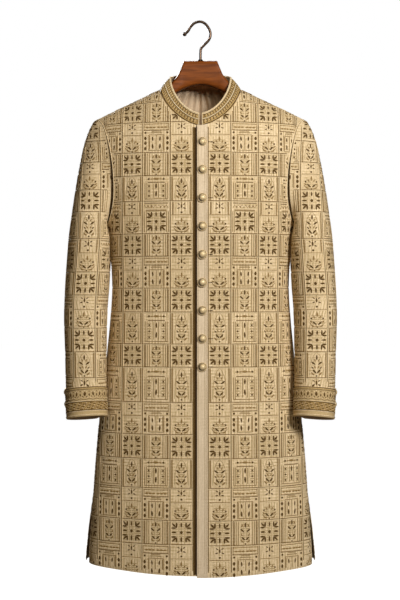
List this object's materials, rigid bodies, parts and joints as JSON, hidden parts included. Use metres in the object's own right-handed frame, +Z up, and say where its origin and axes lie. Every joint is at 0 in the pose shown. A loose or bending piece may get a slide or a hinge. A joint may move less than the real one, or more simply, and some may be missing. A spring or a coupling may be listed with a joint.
{
  "type": "sherwani coat on a hanger",
  "caption": "Knee-length sherwani coat in patterned beige silk, with a stand collar, front placket, domed buttons and banded cuffs, hanging on a wooden hanger.",
  "frame": {"origin": "underside of the hook's bend at its middle, where it rests on a rail", "axes": "+Z up along the coat's length, -Y out of the coat's fronts, +X to the wearer's left; the rail runs along Y"},
  "size_m": [0.5946, 0.2444, 1.2023],
  "materials": {
    "brocade": "silk with a woven and embroidered pattern, soft sheen",
    "brocade_band": "densely embroidered silk band",
    "placket_silk": "plain silk, soft sheen",
    "satin_lining": "satin",
    "antique_gold": "antique gold, worn satin",
    "stained_wood": "red-brown stain, satin lacquer",
    "bronzed_steel": "dark bronze plating"
  },
  "bodies": {
    "root": {"back": "brocade", "back_lining": "satin_lining", "collar": "brocade_band", "cuff_band_left": "brocade_band", "cuff_band_right": "brocade_band", "cuff_button_left_1": "antique_gold", "cuff_button_left_2": "antique_gold", "cuff_button_right_1": "antique_gold", "cuff_button_right_2": "antique_gold", "front_button_1": "antique_gold", "front_button_2": "antique_gold", "front_button_3": "antique_gold", "front_button_4": "antique_gold", "front_button_5": "antique_gold", "front_button_6": "antique_gold", "front_button_7": "antique_gold", "front_button_8": "antique_gold", "front_button_9": "antique_gold", "front_left": "brocade", "front_right": "brocade", "hanger": "stained_wood", "hook": "bronzed_steel", "placket": "placket_silk", "sleeve_left": "brocade", "sleeve_right": "brocade"}
  },
  "joints": []
}
